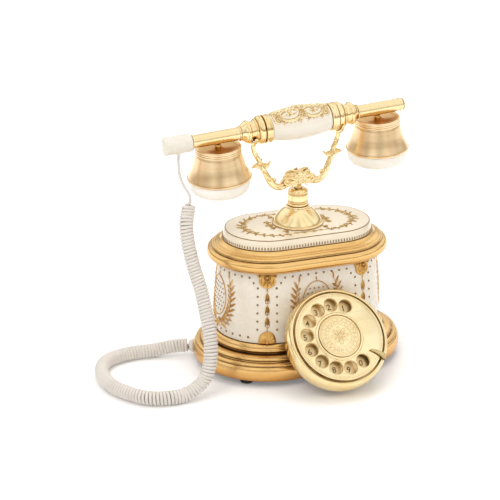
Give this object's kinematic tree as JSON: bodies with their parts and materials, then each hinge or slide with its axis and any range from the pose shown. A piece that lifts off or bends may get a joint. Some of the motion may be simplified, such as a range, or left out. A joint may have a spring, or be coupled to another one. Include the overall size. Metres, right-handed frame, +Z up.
{
  "type": "cradle telephone",
  "caption": "Ornate cradle telephone: stadium-plan base, tilted rotary dial, domed stand with forked cradle, straight bell-ended handset and curly cord.",
  "frame": {"origin": "centre of the footprint on the table, without the free cord", "axes": "+X along the base to the right end, +Y to the back (the dial is on the -Y side), +Z up"},
  "size_m": [0.3293, 0.1988, 0.2625],
  "materials": {
    "polished_gold": "polished, gold plated",
    "satin_gold": "antique satin gold paint with streaks",
    "cream_enamel": "satin cream with gold relief",
    "porcelain": "glazed white",
    "white_plastic": "satin white",
    "cord_white": "smooth off-white sleeve",
    "black_rubber": "matt",
    "steel": "zinc plated",
    "plain_brass": "turned",
    "circuit_laminate": "matt laminate",
    "dark_plastic": "moulded"
  },
  "bodies": {
    "base": {"plinth": "satin_gold", "dial_housing": "polished_gold", "cord_coil_table": "cord_white", "cornice_moulding": "satin_gold", "body_shell": "cream_enamel", "top_lid": "cream_enamel", "stand_dome": "polished_gold", "plunger_spring": "steel", "dial_frame": "steel", "stand_collar": "polished_gold", "ringer_gong_left": "plain_brass", "ringer_gong_right": "plain_brass", "number_plate": "polished_gold", "cord_coil_hanging": "cord_white", "base_plate": "steel", "circuit_board": "circuit_laminate", "dial_cable_bush": "black_rubber", "cord_gland": "cord_white", "return_spring": "steel", "switch_bracket": "steel", "foot_front_right": "black_rubber", "foot_front_left": "black_rubber", "foot_rear_right": "black_rubber", "foot_rear_left": "black_rubber", "base_screw_front_right": "steel", "base_screw_front_left": "steel", "base_screw_rear_right": "steel", "base_screw_rear_left": "steel", "ringer_coil": "dark_plastic", "hook_switch": "dark_plastic", "finger_stop": "polished_gold"},
    "cradle": {"cradle_stem": "plain_brass", "cradle_hub": "polished_gold", "cradle_arm_left": "polished_gold", "cradle_arm_right": "polished_gold"},
    "handset": {"receiver_bell": "polished_gold", "transmitter_bell": "polished_gold", "receiver_cap": "white_plastic", "transmitter_cap": "white_plastic", "handset_grip": "porcelain", "grip_filigree": "polished_gold", "knob_left": "polished_gold", "knob_right": "polished_gold", "cord_cap": "white_plastic", "cord_lead": "cord_white", "ferrule_left": "polished_gold", "ferrule_right": "polished_gold", "tube_left": "polished_gold", "tube_right": "polished_gold", "tube_end_button": "polished_gold", "receiver_capsule": "steel", "transmitter_capsule": "steel", "handset_core_tube": "steel"},
    "dial": {"finger_wheel": "polished_gold", "dial_medallion": "polished_gold", "dial_shaft": "steel", "dial_gear": "plain_brass"},
    "governor": {"dial_governor": "plain_brass"},
    "clapper": {"ringer_clapper": "plain_brass"}
  },
  "joints": [
    {"name": "cradle_plunge", "type": "slide", "parent": "base", "child": "cradle", "axis": [0, 0, 1], "range_m": [0, 0.005], "stiffness_N_per_m": 400, "springref_m": 0.01, "deforming": ["plunger_spring"]},
    {"name": "handset_lift", "type": "slide", "parent": "cradle", "child": "handset", "axis": [0, 0, 1], "range_m": [0, 0.12]},
    {"name": "dial_turn", "type": "hinge", "parent": "base", "child": "dial", "pos_m": [0.01671, -0.06697, 0.055], "axis": [0, -0.7431, 0.6691], "range_deg": [-325, 0], "stiffness_Nm_per_rad": 0.02, "springref_deg": 34.38},
    {"name": "governor_spin", "type": "hinge", "parent": "base", "child": "governor", "pos_m": [0.00248, -0.05745, 0.06557], "axis": [0, -0.7431, 0.6691], "range_deg": [0, 1300]},
    {"name": "clapper_swing", "type": "hinge", "parent": "base", "child": "clapper", "pos_m": [0.01081, 0.03453, 0.0459], "axis": [0, 0, 1], "range_deg": [-4.5, 4.5], "stiffness_Nm_per_rad": 0.002}
  ],
  "couplings": [
    {"joint": "governor_spin", "follows": "dial_turn", "ratio": -4}
  ]
}
